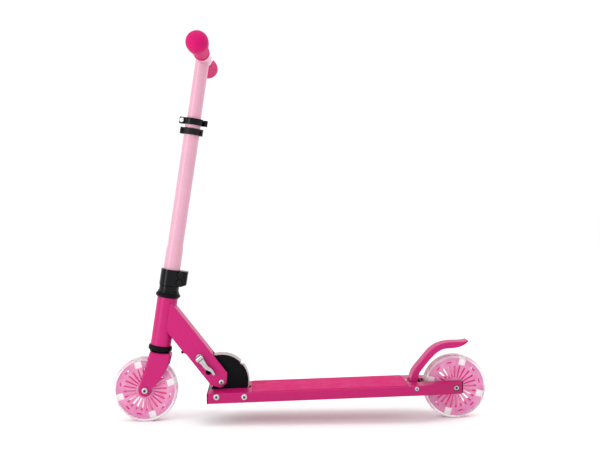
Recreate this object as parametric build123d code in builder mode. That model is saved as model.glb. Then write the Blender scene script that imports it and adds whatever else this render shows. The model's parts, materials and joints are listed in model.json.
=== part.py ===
"""A child's folding kick scooter, as the separate pieces it is assembled from.

The scooter stands on its two wheels: +X runs to the rear, +Z is up, and the rider's left
is -Y. The origin is on the ground, halfway between the wheels. All sizes are millimetres.
"""

from build123d import *
import os
from math import asin, cos, degrees, hypot, radians, sin, tan

# ---------------------------------------------------------------- driving dimensions
# Wheels
WHEEL_RADIUS = 60
WHEEL_WIDTH = 24
WHEELBASE = 582
CORE_RADIUS = 54.5
SPOKE_COUNT = 24
LIGHT_COUNT = 4
BEARING_RADIUS = 11
BEARING_WIDTH = 7
AXLE_RADIUS = 4
RUNNING_GAP = 0.05

# Deck
DECK_TILT = 1.6
DECK_TOP = 64.2
DECK_FRONT = -173
DECK_TAPER = 224.5
DECK_END = 302
DECK_HALF_WIDTH = 50
DECK_DEPTH = 18
ARM_HALF_WIDTH = 21
ARM_DEPTH = 24.3
WHEEL_SLOT_HALF = 15.5
SHEET = 2

# Folding joint
PIVOT_X = -149.2
PIVOT_Z = 74.2
FOLD_ANGLE = 80
TRACK_RADIUS = 52
TRACK_THICKNESS = 2.2
TRACK_HALF_WIDTH = 9
NOTCH_RADIUS = 47.2
STRUT_SLOPE = 51.9
STRUT_HALF_WIDTH = 19
STRUT_WALL = 2.5
STRUT_TOP = 19.2
STRUT_BOTTOM = -18.8
LATCH_TRAVEL = 4

# Steering column
STEER_LEAN = 8.6
HEAD_MIDDLE_X = -256.8
HEAD_MIDDLE_Z = 185
HEAD_LOW, HEAD_HIGH = -43.5, 47.3
HEAD_RADIUS = 19
STEERER_RADIUS = 12.7
CROWN_TOP = -56
CROWN_SHEET = 3
COLUMN_RADIUS = 14.3
COLUMN_LOW, COLUMN_HIGH = 70.2, 383
INNER_TUBE_RADIUS = 12.7
INNER_TUBE_LOW = 222
HEIGHT_BUTTON_AT = 240.8
HEIGHT_STEP = 40
HANDLEBAR_AT = 499
HANDLE_RADIUS = 11.1
TEE_HALF_LENGTH = 38
GRIP_END = 168

# ---------------------------------------------------------------- reference frames
REAR_AXLE = Vector(WHEELBASE / 2, 0, WHEEL_RADIUS)
FRONT_AXLE = Vector(-WHEELBASE / 2, 0, WHEEL_RADIUS)
PIVOT = Vector(PIVOT_X, 0, PIVOT_Z)
LEFT = (0, -1, 0)

tilt, lean = radians(DECK_TILT), radians(STEER_LEAN)
DECK = Plane(origin=(0, 0, DECK_TOP), x_dir=(cos(tilt), 0, sin(tilt)),
             z_dir=(-sin(tilt), 0, cos(tilt)))
DECK_SIDE = Plane(origin=DECK.origin, x_dir=DECK.x_dir, z_dir=LEFT)
COLUMN = Plane(origin=(HEAD_MIDDLE_X, 0, HEAD_MIDDLE_Z), x_dir=(cos(lean), 0, -sin(lean)),
               z_dir=(sin(lean), 0, cos(lean)))
COLUMN_SIDE = Plane(origin=COLUMN.origin, x_dir=COLUMN.x_dir, z_dir=LEFT)
COLUMN_AXIS = Axis(COLUMN.origin, COLUMN.z_dir)
# The strut frame: x square to the strut, out of its upper face, and y up along the strut.
STRUT_SIDE = Plane(origin=PIVOT, x_dir=(sin(radians(STRUT_SLOPE)), 0, cos(radians(STRUT_SLOPE))),
                   z_dir=LEFT)
PIVOT_SIDE = Plane(origin=PIVOT, x_dir=(1, 0, 0), z_dir=LEFT)
# The same frame when the strut is folded right back.
FOLDED_SIDE = Plane(origin=PIVOT, x_dir=(sin(radians(STRUT_SLOPE + FOLD_ANGLE)), 0,
                                         cos(radians(STRUT_SLOPE + FOLD_ANGLE))), z_dir=LEFT)


def at_side(frame, y):
    """The side plane of a frame, moved across the scooter to y. Extruding it goes to -Y."""
    return Plane(origin=frame.origin + Vector(0, y, 0), x_dir=frame.x_dir, z_dir=LEFT)


def across(centre):
    """A plane for outlines of pieces turned about a crosswise axis: x is Y, y is the radius."""
    return Plane(origin=centre, x_dir=(0, 1, 0), z_dir=(1, 0, 0))


def add_turned(centre, outline):
    """Adds to the open part a piece turned about the crosswise axis through centre."""
    with BuildSketch(across(centre)) as profile:
        with BuildLine():
            Polyline(*outline, close=True)
        make_face()
    revolve(profile.sketch, axis=Axis(centre, (0, 1, 0)))


def add_column_turned(outline):
    """Adds to the open part a piece turned about the steering axis: (radius, height) corners."""
    with BuildSketch(COLUMN_SIDE) as profile:
        with BuildLine():
            Polyline(*outline, close=True)
        make_face()
    revolve(profile.sketch, axis=COLUMN_AXIS)


def add_tube(centre, outer, inner, y0, y1):
    """Adds to the open part a tube along Y."""
    add_turned(centre, [(y0, inner), (y1, inner), (y1, outer), (y0, outer)])


def add_screw(centre, head, shank, head_y, tip_y, head_height):
    """Adds a button-head screw along Y: its head stands to the rider's left of head_y."""
    with BuildSketch(across(centre)) as profile:
        with BuildLine():
            Polyline((tip_y, 0), (tip_y, shank), (head_y, shank), (head_y, head))
            ThreePointArc((head_y, head), (head_y - head_height * 0.7, head * 0.84),
                          (head_y - head_height, head * 0.55))
            Polyline((head_y - head_height, head * 0.55), (head_y - head_height, 0), (tip_y, 0))
        make_face()
    revolve(profile.sketch, axis=Axis(centre, (0, 1, 0)))
    with BuildSketch(Plane(origin=centre + Vector(0, head_y - head_height, 0),
                           x_dir=(1, 0, 0), z_dir=LEFT)) as socket:
        RegularPolygon(head * 0.4, 6)
    extrude(socket.sketch, amount=-head_height * 0.6, mode=Mode.SUBTRACT)


def add_lock_nut(centre, flats, bore, y0, height):
    """Adds a hexagonal lock nut along Y with its rounded collar, seated on y0."""
    face = Plane(origin=centre + Vector(0, y0, 0), x_dir=(1, 0, 0), z_dir=(0, 1, 0))
    with BuildSketch(face) as hexagon:
        RegularPolygon(flats / 2, 6, major_radius=False)
        Circle(bore, mode=Mode.SUBTRACT)
    extrude(hexagon.sketch, amount=height * 0.7)
    with BuildSketch(face.offset(height * 0.7)) as collar:
        Circle(flats * 0.44)
        Circle(bore, mode=Mode.SUBTRACT)
    extrude(collar.sketch, amount=height * 0.3)


def finish(piece, name):
    """Labels a finished piece and writes it."""
    piece.part.label = name
    export_step(piece.part, f"parts/{name}.step")


os.makedirs("parts", exist_ok=True)

# ---------------------------------------------------------------- wheels
HUB_RADIUS = 14.5
SLOT_INNER, SLOT_OUTER = 17, 38.5
SLOT_INNER_HALF, SLOT_OUTER_HALF = 1.0, 2.0
LIGHT_INNER, LIGHT_WIDTH = 42, 12.5
SIDE_SLOT_RADIUS, SIDE_SLOT_LENGTH, SIDE_SLOT_HEIGHT = 46.5, 9.5, 2.6
TREAD_ROUND = 5


def wheel_face(centre, y):
    return Plane(origin=centre + Vector(0, y, 0), x_dir=(1, 0, 0), z_dir=LEFT)


def make_tyre(centre):
    """The cast tyre: a ring with a rounded tread."""
    with BuildPart() as tyre:
        add_tube(centre, WHEEL_RADIUS, CORE_RADIUS, -WHEEL_WIDTH / 2, WHEEL_WIDTH / 2)
        tread = tyre.edges().filter_by(GeomType.CIRCLE).filter_by(
            lambda edge: abs(edge.radius - WHEEL_RADIUS) < 0.01)
        fillet(tread, TREAD_ROUND)
    return tyre


def make_core(centre, first_light):
    """The moulded core: a hub and a wide rim joined by thin spokes, with four light windows."""
    half = WHEEL_WIDTH / 2
    with BuildPart() as core:
        add_tube(centre, CORE_RADIUS, AXLE_RADIUS + 3, 1 - half, half - 1)
        add_tube(centre, HUB_RADIUS, AXLE_RADIUS + 3, -half, half)
        for side in (-1, 1):
            with BuildSketch(Plane(origin=centre + Vector(0, side * half, 0), x_dir=(1, 0, 0),
                                   z_dir=(0, side, 0))):
                Circle(BEARING_RADIUS)
            extrude(amount=-BEARING_WIDTH, mode=Mode.SUBTRACT)
        with BuildSketch(wheel_face(centre, half)):
            with PolarLocations(0, SPOKE_COUNT, start_angle=first_light + 3.5):
                Polygon((SLOT_INNER, -SLOT_INNER_HALF), (SLOT_OUTER, -SLOT_OUTER_HALF),
                        (SLOT_OUTER, SLOT_OUTER_HALF), (SLOT_INNER, SLOT_INNER_HALF), align=None)
            with PolarLocations(SLOT_OUTER, SPOKE_COUNT, start_angle=first_light + 3.5):
                Circle(SLOT_OUTER_HALF)
        extrude(amount=WHEEL_WIDTH, mode=Mode.SUBTRACT)
        with BuildSketch(wheel_face(centre, half)):
            for quarter in range(LIGHT_COUNT):
                middle = first_light + 90 * quarter + 45
                with PolarLocations(SIDE_SLOT_RADIUS, 2, start_angle=middle - 15, angular_range=60):
                    SlotOverall(SIDE_SLOT_LENGTH, SIDE_SLOT_HEIGHT, rotation=90)
        extrude(amount=WHEEL_WIDTH, mode=Mode.SUBTRACT)
        with BuildSketch(wheel_face(centre, half)):
            with PolarLocations(0, LIGHT_COUNT, start_angle=first_light):
                with Locations((LIGHT_INNER + 10, 0)):
                    Rectangle(20, LIGHT_WIDTH)
        extrude(amount=WHEEL_WIDTH, mode=Mode.SUBTRACT)
    return core


def make_lights(centre, first_light):
    """The four clear light blocks that fill the windows of the core."""
    with BuildPart() as lights:
        with BuildSketch(wheel_face(centre, WHEEL_WIDTH / 2 - 1)):
            with PolarLocations(0, LIGHT_COUNT, start_angle=first_light):
                with Locations((LIGHT_INNER + 10, 0)):
                    Rectangle(20, LIGHT_WIDTH)
            Circle(CORE_RADIUS, mode=Mode.INTERSECT)
        extrude(amount=WHEEL_WIDTH - 2)
    return lights


def make_bearings(centre):
    """The two ball bearings pressed in the hub."""
    with BuildPart() as bearings:
        for side in (-1, 1):
            outer, inner = side * WHEEL_WIDTH / 2, side * (WHEEL_WIDTH / 2 - BEARING_WIDTH)
            groove = outer - side * 0.6
            bore = AXLE_RADIUS + RUNNING_GAP
            add_turned(centre, [(inner, bore), (outer, bore), (outer, 6), (groove, 6.6),
                                (groove, 8.8), (outer, 9.4), (outer, BEARING_RADIUS),
                                (inner, BEARING_RADIUS)])
    return bearings


def make_axle_spacers(centre):
    """The sleeve between the bearings and the two washers outside them."""
    outside = WHEEL_WIDTH / 2 + 0.2
    between = WHEEL_WIDTH / 2 - BEARING_WIDTH - 0.2
    with BuildPart() as spacers:
        add_tube(centre, 6.2, AXLE_RADIUS, -between, between)
        add_tube(centre, 6.2, AXLE_RADIUS, outside, WHEEL_SLOT_HALF)
        add_tube(centre, 6.2, AXLE_RADIUS, -WHEEL_SLOT_HALF, -outside)
    return spacers


for place, centre, first_light in (("front", FRONT_AXLE, 16), ("rear", REAR_AXLE, -16)):
    finish(make_tyre(centre), f"{place}_tyre")
    finish(make_core(centre, first_light), f"{place}_wheel_core")
    finish(make_lights(centre, first_light), f"{place}_wheel_lights")
    finish(make_bearings(centre), f"{place}_wheel_bearings")
    finish(make_axle_spacers(centre), f"{place}_axle_spacers")

# ---------------------------------------------------------------- deck
YOKE_OUTER = 18
YOKE_END = DECK_END + 2.4
QUADRANT_SLOT = (-168.5, -94.4)
FENDER_SLOT = (203.4, 227)
FENDER_SLOT_HALF = 16.6
FENDER_PIN = Vector(211, 0, 65)
CROSS_BOLTS = [Vector(-157.2, 0, 54), Vector(-106.5, 0, 53.6)]
taper_slope = (DECK_HALF_WIDTH - ARM_HALF_WIDTH) / (DECK_END - DECK_TAPER)
taper_wall = SHEET * hypot(1, taper_slope)
PIN_RADIUS = 2.5
# The round of the bend between the top and the side walls.
EDGE_BEND = 3.4


def add_deck_outline(inset):
    """Draws the plan of the footboard, or of the hollow inset from its side walls."""
    wall = inset * taper_wall / SHEET
    front = DECK_FRONT - inset
    side, end = DECK_HALF_WIDTH - inset, ARM_HALF_WIDTH - wall
    with BuildLine() as outline:
        Polyline((front, -side), (DECK_TAPER - inset * 0.15, -side), (DECK_END + 0.001, -end),
                 (DECK_END + 0.001, end), (DECK_TAPER - inset * 0.15, side), (front, side), close=True)
    make_face(outline.edges())


# One folded sheet: a flat top, two side walls with a lip along their lower edges, and two arms.
with BuildPart() as deck_shell:
    with BuildSketch(DECK):
        add_deck_outline(0)
    extrude(amount=-ARM_DEPTH - 1)
    # The lower edge is level along the board, then drops to the deeper arm ends.
    with BuildSketch(DECK_SIDE):
        with BuildLine():
            Polyline((DECK_FRONT - 5, -DECK_DEPTH), (DECK_TAPER, -DECK_DEPTH),
                     (DECK_END + 5, -ARM_DEPTH - 0.4), (DECK_END + 5, -40), (DECK_FRONT - 5, -40),
                     close=True)
        make_face()
    extrude(amount=DECK_HALF_WIDTH + 5, both=True, mode=Mode.SUBTRACT)
    top_side_edges = deck_shell.edges().filter_by(
        lambda edge: edge.length > 70 and abs(DECK.to_local_coords(edge.center()).Z) < 0.01
        and abs(edge.center().Y) > ARM_HALF_WIDTH)
    fillet(top_side_edges, EDGE_BEND)
    with BuildSketch(DECK.offset(-SHEET)):
        add_deck_outline(SHEET)
    extrude(amount=-ARM_DEPTH - 5, mode=Mode.SUBTRACT)
    for side in (-1, 1):
        with BuildSketch(DECK.offset(-DECK_DEPTH)):
            with Locations(((DECK_FRONT + DECK_TAPER) / 2 + 8, side * (DECK_HALF_WIDTH - SHEET - 4))):
                Rectangle(DECK_TAPER - DECK_FRONT - 16, 8.4)
        extrude(amount=SHEET)
    with BuildSketch(DECK):
        with Locations(((228 + DECK_END + 10) / 2, 0)):
            Rectangle(DECK_END + 10 - 228, 2 * WHEEL_SLOT_HALF)
        with Locations((sum(QUADRANT_SLOT) / 2, 0)):
            Rectangle(QUADRANT_SLOT[1] - QUADRANT_SLOT[0], 2 * TRACK_HALF_WIDTH + 1)
        with Locations((sum(FENDER_SLOT) / 2, 0)):
            Rectangle(FENDER_SLOT[1] - FENDER_SLOT[0], 2 * FENDER_SLOT_HALF)
    extrude(amount=-2 * SHEET, mode=Mode.SUBTRACT)
    for hole_at in (*CROSS_BOLTS, FENDER_PIN):
        with BuildSketch(Plane(origin=hole_at, x_dir=(1, 0, 0), z_dir=LEFT)):
            Circle(PIN_RADIUS + 0.1)
        extrude(amount=DECK_HALF_WIDTH + 5, both=True, mode=Mode.SUBTRACT)
    # Round access to the axle bolt's head on the left and to its nut on the right.
    for side, radius in ((-1, 6.2), (1, 8)):
        with BuildSketch(Plane(origin=REAR_AXLE, x_dir=(1, 0, 0), z_dir=(0, side, 0))):
            Circle(radius)
        extrude(amount=DECK_HALF_WIDTH, mode=Mode.SUBTRACT)
finish(deck_shell, "deck_shell")

# The bent yoke that holds the rear wheel: two cheeks joined by a web in front of the wheel.
with BuildPart() as rear_yoke:
    with BuildSketch(DECK.offset(-SHEET)):
        with Locations(((226 + YOKE_END) / 2, 0)):
            Rectangle(YOKE_END - 226, 2 * YOKE_OUTER)
        with Locations(((228.4 + DECK_END + 10) / 2, 0)):
            Rectangle(DECK_END + 10 - 228.4, 2 * WHEEL_SLOT_HALF, mode=Mode.SUBTRACT)
    extrude(amount=-ARM_DEPTH)
    with BuildSketch(DECK_SIDE):
        with BuildLine():
            Polyline((220, -DECK_DEPTH), (232, -DECK_DEPTH), (DECK_END + 5, -ARM_DEPTH + 0.3),
                     (DECK_END + 5, -40), (220, -40), close=True)
        make_face()
    extrude(amount=40, both=True, mode=Mode.SUBTRACT)
    with BuildSketch(Plane(origin=REAR_AXLE, x_dir=(1, 0, 0), z_dir=LEFT)):
        Circle(AXLE_RADIUS + 0.1)
    extrude(amount=40, both=True, mode=Mode.SUBTRACT)
finish(rear_yoke, "rear_yoke")

with BuildPart() as grip_tape:
    with BuildSketch(DECK):
        with Locations(((-93.5 + 197) / 2, 0)):
            RectangleRounded(197 + 93.5, 2 * (DECK_HALF_WIDTH - EDGE_BEND) - 1, 5)
    extrude(amount=0.8)
finish(grip_tape, "grip_tape")

with BuildPart() as front_end_cap:
    with BuildSketch(Plane(origin=DECK.origin + DECK.x_dir * DECK_FRONT - DECK.z_dir * DECK_DEPTH / 2,
                           x_dir=(0, 1, 0), z_dir=DECK.x_dir * -1)):
        Rectangle(2 * DECK_HALF_WIDTH, DECK_DEPTH)
    extrude(amount=2.2)
    chamfer(front_end_cap.faces().sort_by(Axis.X)[0].edges(), 0.7)
    with BuildSketch(Plane(origin=DECK.origin + DECK.x_dir * DECK_FRONT - DECK.z_dir * 9,
                           x_dir=(0, 1, 0), z_dir=DECK.x_dir)):
        Rectangle(2 * (DECK_HALF_WIDTH - SHEET) - 0.4, DECK_DEPTH - 2 * SHEET - 0.4)
        Rectangle(2 * (DECK_HALF_WIDTH - SHEET) - 5, DECK_DEPTH - 2 * SHEET - 5, mode=Mode.SUBTRACT)
        Rectangle(2 * TRACK_HALF_WIDTH + 6, DECK_DEPTH, mode=Mode.SUBTRACT)
    extrude(amount=7)
finish(front_end_cap, "front_end_cap")

# ---------------------------------------------------------------- folding bracket
CHEEK_INNER = 5
cheek_radius = TRACK_RADIUS - TRACK_THICKNESS
TRACK_START = -16
CHEEK_FRONT = -16.0
track_end = 90 + (90 - STRUT_SLOPE) + degrees(asin(-CHEEK_FRONT / cheek_radius))
CHEEK_FLOOR = 46.5 - PIVOT_Z
TOOTH_OFFSET, TOOTH_WIDTH = 6.2, 6.0


def on_circle(radius, angle):
    return (radius * cos(radians(angle)), radius * sin(radians(angle)))


def strut_to_pivot(out, along):
    """A point of the strut frame, in the level frame at the pivot."""
    slope = radians(STRUT_SLOPE)
    return (out * sin(slope) - along * cos(slope), out * cos(slope) + along * sin(slope))


def cut_notches():
    """Cuts the riding notch and the folded notch out of the open part."""
    for frame in (STRUT_SIDE, FOLDED_SIDE):
        with BuildSketch(frame) as notch:
            with Locations((TOOTH_OFFSET, NOTCH_RADIUS + 6)):
                Rectangle(TOOTH_WIDTH + 0.8, 12)
        extrude(notch.sketch, amount=30, both=True, mode=Mode.SUBTRACT)


def add_arc_band(outer, inner, start, end):
    """Draws a band between two arcs about the origin of the open sketch."""
    middle = (start + end) / 2
    with BuildLine() as band:
        ThreePointArc(on_circle(outer, start), on_circle(outer, middle), on_circle(outer, end))
        Line(on_circle(outer, end), on_circle(inner, end))
        ThreePointArc(on_circle(inner, end), on_circle(inner, middle), on_circle(inner, start))
        Line(on_circle(inner, start), on_circle(outer, start))
    make_face(band.edges())


with BuildPart() as fold_cheeks:
    front_top = strut_to_pivot(CHEEK_FRONT, cheek_radius * cos(asin(CHEEK_FRONT / cheek_radius)))
    front_low = strut_to_pivot(CHEEK_FRONT, 6)
    rear_low = on_circle(cheek_radius, TRACK_START)
    middle = on_circle(cheek_radius, (TRACK_START + track_end) / 2)
    for y in (TRACK_HALF_WIDTH, -CHEEK_INNER):
        with BuildSketch(at_side(PIVOT_SIDE, y)):
            with BuildLine():
                ThreePointArc(rear_low, middle, front_top)
                Polyline(front_top, front_low, (front_low[0] - 0.7, -14),
                         (front_low[0] - 0.7, CHEEK_FLOOR), (rear_low[0], CHEEK_FLOOR), rear_low)
            make_face()
            Circle(AXLE_RADIUS + 0.1, mode=Mode.SUBTRACT)
            for bolt in CROSS_BOLTS:
                with Locations((bolt.X - PIVOT_X, bolt.Z - PIVOT_Z)):
                    Circle(PIN_RADIUS + 0.1, mode=Mode.SUBTRACT)
        extrude(amount=TRACK_HALF_WIDTH - CHEEK_INNER)
    cut_notches()
finish(fold_cheeks, "fold_cheeks")

with BuildPart() as fold_track:
    with BuildSketch(PIVOT_SIDE):
        add_arc_band(TRACK_RADIUS, cheek_radius, TRACK_START, track_end)
    extrude(amount=TRACK_HALF_WIDTH, both=True)
    cut_notches()
    # The track is pressed down into each notch, so it stays one strip.
    for frame in (STRUT_SIDE, FOLDED_SIDE):
        with BuildSketch(frame):
            with BuildLine():
                wall, floor, rim = (TOOTH_WIDTH + 0.8) / 2, NOTCH_RADIUS, cheek_radius + 0.6
                Polyline((TOOTH_OFFSET - wall - 1.6, rim), (TOOTH_OFFSET - wall - 1.6, floor - 1.6),
                         (TOOTH_OFFSET + wall + 1.6, floor - 1.6), (TOOTH_OFFSET + wall + 1.6, rim),
                         (TOOTH_OFFSET + wall, rim), (TOOTH_OFFSET + wall, floor),
                         (TOOTH_OFFSET - wall, floor), (TOOTH_OFFSET - wall, rim), close=True)
            make_face()
        extrude(amount=CHEEK_INNER, both=True)
finish(fold_track, "fold_track")

with BuildPart() as bracket_bolts:
    for bolt in CROSS_BOLTS:
        add_screw(bolt, 5.6, PIN_RADIUS, -DECK_HALF_WIDTH, DECK_HALF_WIDTH + 5, 3)
finish(bracket_bolts, "bracket_bolts")

# The sleeves on the two cross bolts and on the pivot bolt that keep the plates apart.
with BuildPart() as bracket_sleeves:
    for bolt in CROSS_BOLTS:
        add_tube(bolt, 3.6, PIN_RADIUS, TRACK_HALF_WIDTH, DECK_HALF_WIDTH - SHEET)
        add_tube(bolt, 3.6, PIN_RADIUS, SHEET - DECK_HALF_WIDTH, -TRACK_HALF_WIDTH)
    add_tube(PIVOT, 8, AXLE_RADIUS, -CHEEK_INNER, CHEEK_INNER)
    for side in (-1, 1):
        low, high = sorted((side * TRACK_HALF_WIDTH, side * (STRUT_HALF_WIDTH - STRUT_WALL - 0.3)))
        add_tube(PIVOT, 7.5, AXLE_RADIUS, low, high)
finish(bracket_sleeves, "bracket_sleeves")

with BuildPart() as pivot_bolt:
    add_screw(PIVOT, 5.2, AXLE_RADIUS, -STRUT_HALF_WIDTH - 0.3, STRUT_HALF_WIDTH + 6.5, 3.2)
finish(pivot_bolt, "pivot_bolt")

with BuildPart() as small_lock_nuts:
    for bolt in (*CROSS_BOLTS, FENDER_PIN):
        add_lock_nut(bolt, 8, PIN_RADIUS, DECK_HALF_WIDTH, 4.6)
finish(small_lock_nuts, "small_lock_nuts")

with BuildPart() as large_lock_nuts:
    add_lock_nut(PIVOT, 13, AXLE_RADIUS, STRUT_HALF_WIDTH + 0.3, 6)
    add_lock_nut(REAR_AXLE, 13, AXLE_RADIUS, YOKE_OUTER, 6)
finish(large_lock_nuts, "large_lock_nuts")

# ---------------------------------------------------------------- folding strut
BOX_TOP_START, BOX_FLOOR_START = 50.9, 84.3
BOX_FLOOR_OUT = -20.7
SKEWER_OUT, SKEWER_ALONG = -3.1, 60.7
SKEWER_RADIUS = 2.5
SPRING_LOW, SPRING_HIGH = 72, 88
STRUT_LENGTH = 190
MOUTH_BACK = 9.4
BUMPER_ALONG = 87.5

with BuildPart() as neck_strut:
    inner_half = STRUT_HALF_WIDTH - STRUT_WALL
    with BuildSketch(STRUT_SIDE):
        with BuildLine():
            Polyline((STRUT_TOP, STRUT_LENGTH), (STRUT_TOP, 7.4), (5.4, -7.6), (-7.2, -7.2),
                     (STRUT_BOTTOM, 8.2), (STRUT_BOTTOM, BOX_FLOOR_START - 1.5),
                     (BOX_FLOOR_OUT, BOX_FLOOR_START), (BOX_FLOOR_OUT, STRUT_LENGTH), close=True)
        make_face()
        fillet(vertices().sort_by(Axis.Y)[:2], 4.5)
    extrude(amount=STRUT_HALF_WIDTH, both=True)
    with BuildSketch(STRUT_SIDE):
        with BuildLine():
            Polyline((STRUT_TOP - STRUT_WALL, STRUT_LENGTH + 1), (STRUT_TOP - STRUT_WALL, BOX_TOP_START),
                     (STRUT_TOP + 5, BOX_TOP_START), (STRUT_TOP + 5, -20), (BOX_FLOOR_OUT - 5, -20),
                     (BOX_FLOOR_OUT - 5, BOX_FLOOR_START),
                     (BOX_FLOOR_OUT + STRUT_WALL, BOX_FLOOR_START),
                     (BOX_FLOOR_OUT + STRUT_WALL, STRUT_LENGTH + 1), close=True)
        make_face()
    extrude(amount=inner_half, both=True, mode=Mode.SUBTRACT)
    long_edges = neck_strut.edges().filter_by(
        lambda edge: edge.length > 90 and abs(abs(edge.center().Y) - STRUT_HALF_WIDTH) < 0.01)
    fillet(long_edges, 1.6)
    # The mouth is cut to the round of the head tube.
    with BuildSketch(COLUMN.offset(-80)):
        Circle(HEAD_RADIUS)
        with Locations((MOUTH_BACK - 100, 0)):
            Rectangle(200, 80)
    extrude(amount=200, mode=Mode.SUBTRACT)
    with BuildSketch(STRUT_SIDE):
        Circle(AXLE_RADIUS + RUNNING_GAP)
        with Locations((-7.3, 30)):
            Circle(5.3)
        with Locations((SKEWER_OUT, SKEWER_ALONG - LATCH_TRAVEL / 2)):
            SlotCenterToCenter(LATCH_TRAVEL, 2 * SKEWER_RADIUS + 0.5, rotation=90)
    extrude(amount=30, both=True, mode=Mode.SUBTRACT)
    with BuildSketch(STRUT_SIDE):
        with Locations((BOX_FLOOR_OUT, BUMPER_ALONG)):
            Rectangle(8, 4)
    extrude(amount=2, both=True, mode=Mode.SUBTRACT)
    # The cross plate the latch springs push against.
    with BuildSketch(STRUT_SIDE):
        with Locations((0.5, SPRING_HIGH + 0.9)):
            Rectangle(24, 1.8)
    extrude(amount=STRUT_HALF_WIDTH - STRUT_WALL, both=True)
finish(neck_strut, "neck_strut")

with BuildPart() as head_tube:
    add_column_turned([(16.8, HEAD_LOW), (HEAD_RADIUS, HEAD_LOW), (HEAD_RADIUS, HEAD_HIGH),
                       (16.8, HEAD_HIGH)])
finish(head_tube, "head_tube")

with BuildPart() as strut_bumper:
    with BuildSketch(Plane(origin=STRUT_SIDE.from_local_coords((BOX_FLOOR_OUT, BUMPER_ALONG, 0)),
                           x_dir=(0, 1, 0), z_dir=STRUT_SIDE.x_dir * -1)):
        Circle(2.8)
    extrude(amount=6.6)
    fillet(strut_bumper.faces().sort_by(Axis(STRUT_SIDE.origin, STRUT_SIDE.x_dir))[0].edges(), 1)
    with BuildSketch(Plane(origin=STRUT_SIDE.from_local_coords((BOX_FLOOR_OUT, BUMPER_ALONG, 0)),
                           x_dir=(0, 1, 0), z_dir=STRUT_SIDE.x_dir)):
        Rectangle(3.8, 3.8)
    extrude(amount=STRUT_WALL + 1)
finish(strut_bumper, "strut_bumper")

# ---------------------------------------------------------------- fold latch
BLOCK_HALF_WIDTH = 12
BLOCK_LOWER_RADIUS = 56.9
TOOTH_TIP = 52.9

with BuildPart() as latch_block:
    with BuildSketch(STRUT_SIDE):
        with Locations((0.5, 63)):
            Rectangle(21, 16)
        Circle(BLOCK_LOWER_RADIUS, mode=Mode.SUBTRACT)
        with Locations((TOOTH_OFFSET, (TOOTH_TIP + 62) / 2)):
            Rectangle(TOOTH_WIDTH, 62 - TOOTH_TIP)
        with Locations((SKEWER_OUT, SKEWER_ALONG)):
            Circle(SKEWER_RADIUS, mode=Mode.SUBTRACT)
    extrude(amount=BLOCK_HALF_WIDTH, both=True)
finish(latch_block, "latch_block")

skewer_centre = STRUT_SIDE.from_local_coords((SKEWER_OUT, SKEWER_ALONG, 0))
LATCH_HINGE_Y = -25.8
with BuildPart() as latch_skewer:
    add_turned(skewer_centre, [(-20.6, 0), (24, 0), (25, 4.5), (23.5, 6.2), (21, 7.5), (19.3, 7.5),
                               (19.3, SKEWER_RADIUS), (-20.6, SKEWER_RADIUS)])
    # The flat end the lever is pinned to, rounded about the hinge.
    with BuildSketch(Plane(origin=skewer_centre + Vector(0, LATCH_HINGE_Y, 0),
                           x_dir=(0, 1, 0), z_dir=STRUT_SIDE.x_dir)):
        Circle(2.4)
        with Locations((2.6, 0)):
            Rectangle(5.2, 4.8)
        Circle(1.1, mode=Mode.SUBTRACT)
    extrude(amount=2, both=True)
finish(latch_skewer, "latch_skewer")

with BuildPart() as latch_washer:
    add_tube(skewer_centre, 7.2, SKEWER_RADIUS + RUNNING_GAP, -20.5, -STRUT_HALF_WIDTH - 0.05)
finish(latch_washer, "latch_washer")

# The two springs that push the latch block towards the track.
with BuildPart() as latch_springs:
    for side in (-1, 1):
        coil_foot = STRUT_SIDE.from_local_coords((0.5, SPRING_LOW, side * 6))
        with BuildLine() as coil:
            Helix(pitch=3.2, height=SPRING_HIGH - SPRING_LOW - 1.2, radius=3.2, center=coil_foot,
                  direction=STRUT_SIDE.y_dir)
        with BuildSketch(Plane(origin=coil.line @ 0, z_dir=coil.line % 0)):
            Circle(0.5)
        sweep(path=coil.line)
finish(latch_springs, "latch_springs")

# The cam lever: a round cam head and a slim S-shaped handle, lying along the strut.
LEVER_PLANE_Y = -21.6
LEVER_THICK = 5.6
CAM_RADIUS = 5.1
with BuildPart() as latch_lever:
    with BuildSketch(Plane(origin=skewer_centre + Vector(0, LATCH_HINGE_Y, 0),
                           x_dir=(0, 1, 0), z_dir=STRUT_SIDE.x_dir)):
        Circle(CAM_RADIUS)
    extrude(amount=7, both=True)
    with BuildSketch(at_side(STRUT_SIDE, 0)):
        with Locations((SKEWER_OUT, SKEWER_ALONG)):
            Circle(7)
    extrude(amount=40, mode=Mode.INTERSECT)
    with BuildSketch(at_side(STRUT_SIDE, LEVER_PLANE_Y)):
        with BuildLine():
            Spline((SKEWER_OUT + 6, SKEWER_ALONG - 1), (1.2, 49), (0.2, 40.5), (2.2, 33), (2.2, 26),
                   (0.9, 20), tangents=[(-0.4, -1), (-0.2, -1)])
            Line((0.9, 20), (-2.6, 20.8))
            Spline((-2.6, 20.8), (-1.9, 26), (-3.8, 32), (-7.2, 40), (-7.4, 49),
                   (SKEWER_OUT - 6, SKEWER_ALONG - 2), tangents=[(0.1, 1), (-0.2, 1)])
            Line((SKEWER_OUT - 6, SKEWER_ALONG - 2), (SKEWER_OUT + 6, SKEWER_ALONG - 1))
        make_face()
    extrude(amount=LEVER_THICK)
    # The slot that takes the flat end of the skewer, open towards the strut and the back.
    with BuildSketch(at_side(STRUT_SIDE, 0)):
        with Locations((SKEWER_OUT, SKEWER_ALONG + 3)):
            Rectangle(4.4, 12)
    extrude(amount=-LATCH_HINGE_Y + 2.8, mode=Mode.SUBTRACT)
    with BuildSketch(Plane(origin=skewer_centre + Vector(0, LATCH_HINGE_Y, 0),
                           x_dir=(0, 1, 0), z_dir=STRUT_SIDE.x_dir)):
        Circle(1.05)
    extrude(amount=6, both=True)
finish(latch_lever, "latch_lever")

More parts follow.
